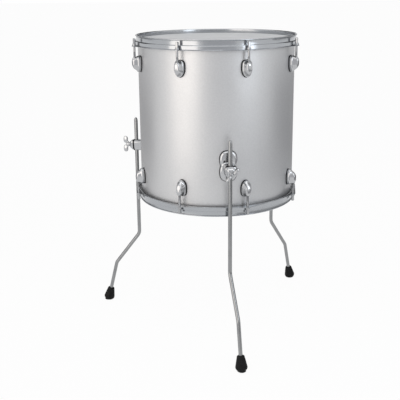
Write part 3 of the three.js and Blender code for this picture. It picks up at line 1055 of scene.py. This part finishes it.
def makeCap():
    rings = []
    for depthShare, share in cap["faceShares"]:
        reach = capBack + clamp["capDepth"] * depthShare
        rings.append(castRing(clampOutline, reach, clamp["width"] * share, cap["height"] * share))
    dome = newObject("cap", loftMesh("clampCap", rings, degrees=40))
    eyeRoom = eyeRadius + cap["eyeRoom"]
    cut(dome, uprightBar(eyeRoom, eyeRoomHalf))
    past = capFront + clamp["cutPast"]
    corners = [(0, legReach), (stemBore, legReach), (stemBore, past), (0, past)]
    hole = latheMesh("hole", corners, segments=32)
    hole.transform(outwards)
    cut(dome, newObject("hole", hole))
    # the tongue reaches into the block's channel and bears on the leg
    tongue = slab(
        clamp["legRadius"] - cap["tongueInset"], capBack - cap["tongueDeep"],
        capBack + cap["tongueInCap"], cap["tongueHalf"]
    )
    cut(tongue, uprightBar(channelRadius, cutHalf, cap["tongueSteps"]))
    cut(tongue, uprightBar(eyeRoom, eyeRoomHalf))
    mesh = joinMeshes("clampCap", (dome.data, tongue.data), degrees=30)
    bpy.data.objects.remove(dome)
    bpy.data.objects.remove(tongue)
    return dress(mesh, castChrome)


nut = {
    "gap": 0.3 * mm,
    "hub": 5.8 * mm,
    "hubLong": 11 * mm,
    "collarOver": 0.9 * mm,
    "collarHigh": 1.6 * mm,
    "collarSoft": 0.5 * mm,
    "waistIn": 0.3 * mm,
    "waistHigh": 3.6 * mm,
    "waistSoft": 1.5 * mm,
    "frontIn": 0.9 * mm,
    "frontSoft": 1 * mm,
    "boreSoft": 0.4 * mm,
    "thick": 5 * mm,
    "overHub": 3 * mm,
    "tabCentre": 12.6 * mm,
    "tabLong": 9.6 * mm,
    "tabDeep": 6.2 * mm,
    "tabCornerShare": 0.78,
    "armBack": 3 * mm,
    "armSpread": 3.9 * mm,
    "armFront": 1.6 * mm,
    "armFrontGrow": 1 * mm,
    "armInnerShare": 0.5,
    "armLowShare": 0.7,
    "armHighShare": 0.2,
    "armThinShare": 0.86,
    # level through the wing's thickness and width share there
    "layerShares": [(-1, 0.80), (-0.78, 0.93), (-0.35, 1.0), (0.35, 1.0), (0.78, 0.93), (1, 0.80)],
    "steps": 56,
}
nutBack = capFront + nut["gap"]
nutFront = nutBack + nut["hubLong"]


def makeHub():
    collar = nut["hub"] + nut["collarOver"]
    hub = latheMesh("hub", [
        (stemBore, nutBack),
        (collar, nutBack, nut["collarSoft"]),
        (collar, nutBack + nut["collarHigh"], nut["collarSoft"]),
        (nut["hub"] - nut["waistIn"], nutBack + nut["waistHigh"], nut["waistSoft"]),
        (nut["hub"] - nut["frontIn"], nutFront, nut["frontSoft"]),
        (stemBore, nutFront, nut["boreSoft"]),
    ], segments=48)
    hub.transform(outwards)
    return hub


# One wing: a rounded tab and the arm that carries it; side is -1 or 1
def makeWing(side):
    reach = nutFront + nut["overHub"]
    inner = nut["hub"] * nut["armInnerShare"]
    outer = nut["tabCentre"]
    tab = []
    arm = []
    for level, share in nut["layerShares"]:
        thick = level * nut["thick"] / 2
        ring = []
        for turn in turnsOf(nut["steps"]):
            x = outer + nut["tabLong"] * share * power(math.cos(turn), nut["tabCornerShare"])
            y = reach + nut["tabDeep"] * share * power(math.sin(turn), nut["tabCornerShare"])
            ring.append(Vector((side * x, -y, thick)))
        tab.append(ring)
        corners = [
            (inner, nutBack + nut["armBack"] + (1 - share) * nut["armSpread"]),
            (outer, reach - nut["tabDeep"] * nut["armLowShare"] * share),
            (outer, reach + nut["tabDeep"] * nut["armHighShare"] * share),
            (inner, nutFront - nut["armFront"] + nut["armFrontGrow"] * share),
        ]
        arm.append([Vector((side * x, -y, thick * nut["armThinShare"])) for x, y in corners])
    return loftMesh("tab", tab), loftMesh("arm", arm)


def makeWingNut():
    forms = (makeHub(), *makeWing(-1), *makeWing(1))
    return dress(joinMeshes("wingNut", forms, degrees=45), castChrome)


# Legs and feet

leg = {
    "radius": clamp["legRadius"],
    "topOverBracket": 77 * mm,
    "upperBend": 209.5 * mm,
    "lowerBend": 116.5 * mm,
    "lowerReach": 70.5 * mm,
    "footReach": 99 * mm,
    "bendRadius": 28 * mm,
    "end": 12 * mm,
    # a bullet nose: how far below the top, and the share of the rod's radius there
    "noseShares": [
        (0, 0.22), (0.5 * mm, 0.42), (1.4 * mm, 0.6), (3 * mm, 0.78), (5.5 * mm, 0.92), (8.5 * mm, 1),
    ],
    "bendSteps": 12,
    "sides": 40,
    "turns": {"front": 7.5, "left": 11.5, "right": 0.5},
}
wingTurns = {"front": 45, "left": 90, "right": 20}
footSlope = (leg["footReach"] - leg["lowerReach"]) / leg["lowerBend"]


# The rod's middle line, as (outwards, height) points with a share of its radius
def legRoute(top):
    corners = [
        (0, top),
        (0, leg["upperBend"], leg["bendRadius"]),
        (leg["lowerReach"], leg["lowerBend"], leg["bendRadius"]),
        (leg["footReach"] - footSlope * leg["end"], leg["end"]),
    ]
    route = [(Vector((0, top - drop)), share) for drop, share in leg["noseShares"]]
    route += [(point, 1) for point in roundedProfile(corners, leg["bendSteps"])[1:]]
    return route


def makeLegMesh(top):
    route = legRoute(top)
    rings = []
    for index, (point, share) in enumerate(route):
        before = route[max(index - 1, 0)][0]
        after = route[min(index + 1, len(route) - 1)][0]
        along = (after - before).normalized()
        ring = []
        for turn in turnsOf(leg["sides"]):
            across = leg["radius"] * share * math.cos(turn)
            x = leg["radius"] * share * math.sin(turn)
            ring.append(Vector((x, -(point.x + across * along.y), point.y - across * along.x)))
        rings.append(ring)
    return dress(loftMesh("legRod", rings, degrees=50), legChrome)


foot = {
    "high": 37 * mm,
    "below": 6 * mm,
    "sole": 10.8 * mm,
    "soleHigh": 0.4 * mm,
    "soleSoft": 1 * mm,
    "widest": 15 * mm,
    "widestHigh": 8 * mm,
    "widestSoft": 1.5 * mm,
    "cheekLow": 4.8 * mm,
    "cheekLowIn": 0.8 * mm,
    "cheekHigh": 11.6 * mm,
    "cheekHighIn": 0.5 * mm,
    "cheekSoft": 2 * mm,
    "top": 9.3 * mm,
    "topRound": 1.6 * mm,
    "topSoft": 1 * mm,
    "grooveShares": (0.42, 0.58, 0.74),
    "grooveLeadShare": 0.08,
    "grooveDeep": 0.5 * mm,
    "grooveStep": 0.5 * mm,
    "grooveUpperIn": 0.1 * mm,
    "grooveSoft": 0.3 * mm,
    "mouthGap": 0.1 * mm,
    "mouthDeep": 6 * mm,
    "mouthSoft": 0.5 * mm,
    "segments": 64,
    "sharpDegrees": 40,
}


# Three shallow grooves on the way up to the mouth
def grooveCorners():
    soft = foot["grooveSoft"]
    corners = []
    for share in foot["grooveShares"]:
        low = foot["cheekHigh"] + (foot["high"] - foot["cheekHigh"]) * share
        wide = foot["widest"] + (foot["top"] - foot["widest"]) * (share + foot["grooveLeadShare"])
        for step, depth in enumerate((0, foot["grooveDeep"], foot["grooveDeep"], foot["grooveUpperIn"])):
            corners.append((wide - depth, low + step * foot["grooveStep"], soft))
    return corners


# The foot is turned in line with the leg's end and cut level with the floor
def makeFootMesh():
    mouth = leg["radius"] + foot["mouthGap"]
    corners = [
        (0, -foot["below"]),
        (foot["sole"], -foot["below"]),
        (foot["sole"], foot["soleHigh"], foot["soleSoft"]),
        (foot["widest"] - foot["cheekLowIn"], foot["cheekLow"], foot["cheekSoft"]),
        (foot["widest"], foot["widestHigh"], foot["widestSoft"]),
        (foot["widest"] - foot["cheekHighIn"], foot["cheekHigh"], foot["cheekSoft"]),
    ]
    corners += grooveCorners()
    corners += [
        (foot["top"], foot["high"] - foot["topRound"], foot["topSoft"]),
        (foot["top"] - foot["topRound"], foot["high"], foot["topSoft"]),
        (mouth, foot["high"], foot["mouthSoft"]),
        (mouth, foot["high"] - foot["mouthDeep"]),
        (0, foot["high"] - foot["mouthDeep"]),
    ]
    mesh = latheMesh("rubberFoot", corners, foot["segments"], foot["sharpDegrees"])
    mesh.transform(Matrix.Rotation(-math.atan(footSlope), 4, "X"))
    mesh.transform(shift(leg["footReach"]))
    work = bmesh.new()
    work.from_mesh(mesh)
    sliced = bmesh.ops.bisect_plane(
        work, geom=work.verts[:] + work.edges[:] + work.faces[:],
        plane_co=(0, 0, 0), plane_no=(0, 0, 1), clear_inner=True
    )
    rim = [part for part in sliced["geom_cut"] if isinstance(part, bmesh.types.BMEdge)]
    bmesh.ops.edgenet_fill(work, edges=rim)
    bmesh.ops.recalc_face_normals(work, faces=work.faces)
    work.to_mesh(mesh)
    work.free()
    shade(mesh, foot["sharpDegrees"])
    return dress(mesh, blackRubber)


def placeLegStations():
    over = plate["gasketOver"]
    gasketMesh = makeGasket("bracketGasket", plateOutline, plate["width"] + over, plate["height"] + over)
    plateMesh = makeBracketPlate()
    blockMesh = makeBracketBlock()
    shadeLinerMesh = makeClampShadeLiner()
    eyeMesh = makeEyeBolt()
    capMesh = makeCap()
    nutMesh = makeWingNut()
    footMesh = makeFootMesh()
    for place in ("front", "left", "right"):
        joint = joints[f"{place}_nut_turn"]
        azimuth = math.atan2(joint["axis"][0], -joint["axis"][1])
        height = joint["pos_m"][2]
        station = stationMatrix(azimuth, height)
        addPiece("bracketPlate_" + place, plateMesh, station, "drum", "chrome", f"bracket_{place}")
        addPiece("bracketBlock_" + place, blockMesh, station, "drum", "chrome")
        addPiece("clampLiner_" + place, shadeLinerMesh, station, "drum", "rubber")
        addPiece("bracketGasket_" + place, gasketMesh, station @ shift(0, plate["rise"]), "drum", "rubber")
        addPiece("eyeBoltBody_" + place, eyeMesh, station, "drum", "chrome", f"eye_bolt_{place}")
        addPiece("clampCapBody_" + place, capMesh, station, f"{place}_cap", "chrome", f"clamp_cap_{place}")
        wing = station @ Matrix.Rotation(-math.radians(wingTurns[place]), 4, "Y")
        addPiece("wingNutBody_" + place, nutMesh, wing, f"{place}_nut", "chrome", f"wing_nut_{place}")
        legPlace = stationMatrix(azimuth, 0) @ shift(legReach)
        legPlace = legPlace @ Matrix.Rotation(math.radians(leg["turns"][place]), 4, "Z")
        legMesh = makeLegMesh(height + leg["topOverBracket"])
        addPiece("legRod_" + place, legMesh, legPlace, f"{place}_leg", "leg_rod", f"leg_{place}")
        addPiece("rubberFoot_" + place, footMesh, legPlace, f"{place}_leg", "rubber", f"foot_{place}")


placeLegStations()
print("legs, brackets and feet made")


# Vent: a rubber grommet through the shell

vent = {
    "bore": 4 * mm,
    "tube": 5.6 * mm,
    "flange": 8.8 * mm,
    "thick": 1.2 * mm,
    "rimShare": 0.6,
    "outerGap": 0.2 * mm,
    "innerGap": 0.9 * mm,
    "soft": 0.5 * mm,
}


def makeVent():
    outside = drum["radius"] + vent["outerGap"]
    inside = drum["radius"] - drum["wall"] - vent["innerGap"]
    soft = vent["soft"]
    thick = vent["thick"]
    corners = [
        (vent["bore"], inside - thick, soft), (vent["flange"], inside - thick, soft),
        (vent["flange"], inside, soft), (vent["tube"], inside), (vent["tube"], outside),
        (vent["flange"], outside), (vent["flange"], outside + thick * vent["rimShare"], soft),
        (vent["tube"], outside + thick, soft), (vent["bore"], outside + thick, soft),
    ]
    mesh = dress(latheMesh("ventGrommet", corners, segments=48), blackRubber)
    mesh.transform(outwards)
    low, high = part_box("vent_grommet")
    place = stationMatrix(azimuthOf((low + high) / 2), drum["middle"])
    addPiece("ventBody", mesh, place, "drum", "rubber", "vent_grommet")


makeVent()
print("vent made")


# Studio: a pale floor, a white world, three soft lamps and the cards that the metal mirrors

studio = {
    "floorSize": 80,
    "floorColor": (0.9, 0.9, 0.9, 1),
    "floorGlow": 0.95,
    "ambient": 0.55,
    "ambientColor": (0.97, 0.98, 1, 1),
    "aimHeight": 0.5,
    "cardSteps": 12,
    "cardBlueShare": 1.02,
}
# Azimuth and turns in degrees from the front, places in metres
lamps = {
    "leftSoftbox": {
        "azimuth": -44, "distance": 2.2, "height": 0.9, "width": 1.6, "tall": 2.2,
        "power": 14.8, "color": (1, 0.905, 0.815),
    },
    "rightSoftbox": {
        "azimuth": 44, "distance": 2.2, "height": 1.45, "width": 0.7, "tall": 1.8,
        "power": 8.8, "color": (0.87, 0.93, 1),
    },
    "topSoftbox": {
        "azimuth": 0, "distance": 0.6, "height": 2.6, "width": 1.6, "tall": 1.6,
        "power": 9, "color": (1, 1, 1),
    },
}
# Only reflections see the cards, which give the metal its darker bands
cards = {
    "leftCard": {"from": -178, "to": -95, "distance": 1.4, "low": 0, "high": 0.62, "level": 0.42},
    "rightCard": {"from": 80, "to": 178, "distance": 1.35, "low": 0, "high": 0.64, "level": 0.34},
    "lowRightCard": {"from": 26, "to": 80, "distance": 1.3, "low": 0, "high": 0.32, "level": 0.45},
    "frontCard": {"from": -18, "to": 26, "distance": 2.4, "low": 0, "high": 1.8, "level": 0.72},
    "backCard": {"from": 110, "to": 250, "distance": 2.2, "low": 1, "high": 2.6, "level": 0.10},
}
drumAxis = Vector((axisX, axisY, 0))


# Leaves only an output in a material's or world's tree, and gives its surface socket too
def emptyTree(owner, kind):
    owner.use_nodes = True
    tree = owner.node_tree
    tree.nodes.clear()
    return tree, tree.nodes.new(kind).inputs["Surface"]


# 1 where a surface is seen, mirrored or seen through glass, and 0 where it gives its light
def seenDirectly(tree):
    path = tree.nodes.new("ShaderNodeLightPath")
    seen = mathNode(tree, "MAXIMUM", path.outputs["Is Camera Ray"], path.outputs["Is Glossy Ray"])
    return mathNode(tree, "MAXIMUM", seen, path.outputs["Is Transmission Ray"])


def mixShaders(tree, share, first, second):
    return addNode(tree, "ShaderNodeMixShader", {0: share, 1: first.outputs[0], 2: second.outputs[0]})


def makeFloor():
    half = studio["floorSize"] / 2
    corners = [(-half, -half, 0), (half, -half, 0), (half, half, 0), (-half, half, 0)]
    material = bpy.data.materials.new("paleFloor")
    tree, surface = emptyTree(material, "ShaderNodeOutputMaterial")
    diffuse = addNode(tree, "ShaderNodeBsdfDiffuse", {"Color": studio["floorColor"]})
    glow = addNode(tree, "ShaderNodeEmission", {"Strength": 1})
    share = mathNode(tree, "MULTIPLY", seenDirectly(tree), studio["floorGlow"])
    upper = mixShaders(tree, share, diffuse, glow)
    # seen from below, the floor lets the drum's underside show
    clear = tree.nodes.new("ShaderNodeBsdfTransparent")
    side = tree.nodes.new("ShaderNodeNewGeometry")
    oneSided = mixShaders(tree, side.outputs["Backfacing"], upper, clear)
    tree.links.new(oneSided.outputs[0], surface)
    mesh = plainMesh("floor", corners, [range(len(corners))])
    newObject("floor", dress(mesh, material))


# White where it is seen, dimmer and a little cool where it lights the drum
def makeWorld():
    world = bpy.data.worlds.new("studioWorld")
    bpy.context.scene.world = world
    tree, surface = emptyTree(world, "ShaderNodeOutputWorld")
    white = addNode(tree, "ShaderNodeBackground", {"Color": (1, 1, 1, 1), "Strength": 1})
    dim = {"Color": studio["ambientColor"], "Strength": studio["ambient"]}
    ambient = addNode(tree, "ShaderNodeBackground", dim)
    mix = mixShaders(tree, seenDirectly(tree), ambient, white)
    tree.links.new(mix.outputs[0], surface)


# A soft lamp aimed at the drum
def addLamp(name, look):
    light = bpy.data.lights.new(name, "AREA")
    light.shape = "RECTANGLE"
    light.size = look["width"]
    light.size_y = look["tall"]
    light.energy = look["power"]
    light.color = look["color"]
    lamp = newObject(name, light)
    place = drumAxis + roundPoint(look["distance"], math.radians(look["azimuth"]), look["height"])
    aim = drumAxis + Vector((0, 0, studio["aimHeight"])) - place
    lamp.location = place
    lamp.rotation_euler = aim.to_track_quat("-Z", "Y").to_euler()
    lamp.visible_camera = False


# A curved card that stands round the drum's axis
def addCard(name, look):
    steps = studio["cardSteps"]
    points = []
    for step in range(steps + 1):
        turn = math.radians(look["from"] + (look["to"] - look["from"]) * step / steps)
        for height in (look["low"], look["high"]):
            points.append(drumAxis + roundPoint(look["distance"], turn, height))
    faces = [(2 * step, 2 * step + 2, 2 * step + 3, 2 * step + 1) for step in range(steps)]
    material = bpy.data.materials.new(name)
    tree, surface = emptyTree(material, "ShaderNodeOutputMaterial")
    level = look["level"]
    color = (level, level, level * studio["cardBlueShare"], 1)
    glow = addNode(tree, "ShaderNodeEmission", {"Color": color})
    tree.links.new(glow.outputs[0], surface)
    card = newObject(name, dress(plainMesh(name, points, faces), material))
    card.visible_camera = False
    card.visible_diffuse = False
    card.visible_shadow = False
    card.visible_transmission = False


makeFloor()
makeWorld()
for name, look in lamps.items():
    addLamp(name, look)
for name, look in cards.items():
    addCard(name, look)
print("studio made")


# Camera: placed and turned as the photograph was taken, with a small shift of the frame

camera = {
    "sideways": -0.00173,
    "distance": 1.82493,
    "height": 0.9021,
    "yaw": -0.02357,
    "pitch": 0.25227,
    "roll": -0.00947,
    "focalPixels": 693.32,
    "framePixels": 400,
    "centreRow": 164,
    "sensorWidth": 36,
    "farClip": 40,
}


def addCamera():
    data = bpy.data.cameras.new("camera")
    data.sensor_width = camera["sensorWidth"]
    data.lens = camera["focalPixels"] / camera["framePixels"] * camera["sensorWidth"]
    data.shift_y = (camera["centreRow"] - camera["framePixels"] / 2) / camera["framePixels"]
    data.clip_end = camera["farClip"]
    yaw, pitch, roll = camera["yaw"], camera["pitch"], camera["roll"]
    ahead = Vector((math.sin(yaw) * math.cos(pitch), math.cos(yaw) * math.cos(pitch), -math.sin(pitch)))
    level = Vector((math.cos(yaw), -math.sin(yaw), 0))
    upright = level.cross(ahead)
    right = level * math.cos(roll) + upright * math.sin(roll)
    up = upright * math.cos(roll) - level * math.sin(roll)
    place = Matrix((right, up, -ahead)).transposed().to_4x4()
    place.translation = (axisX + camera["sideways"], axisY - camera["distance"], camera["height"])
    item = newObject("camera", data)
    item.matrix_world = place
    bpy.context.scene.camera = item


addCamera()
bpy.context.scene.view_settings.view_transform = "Standard"
print("camera placed")
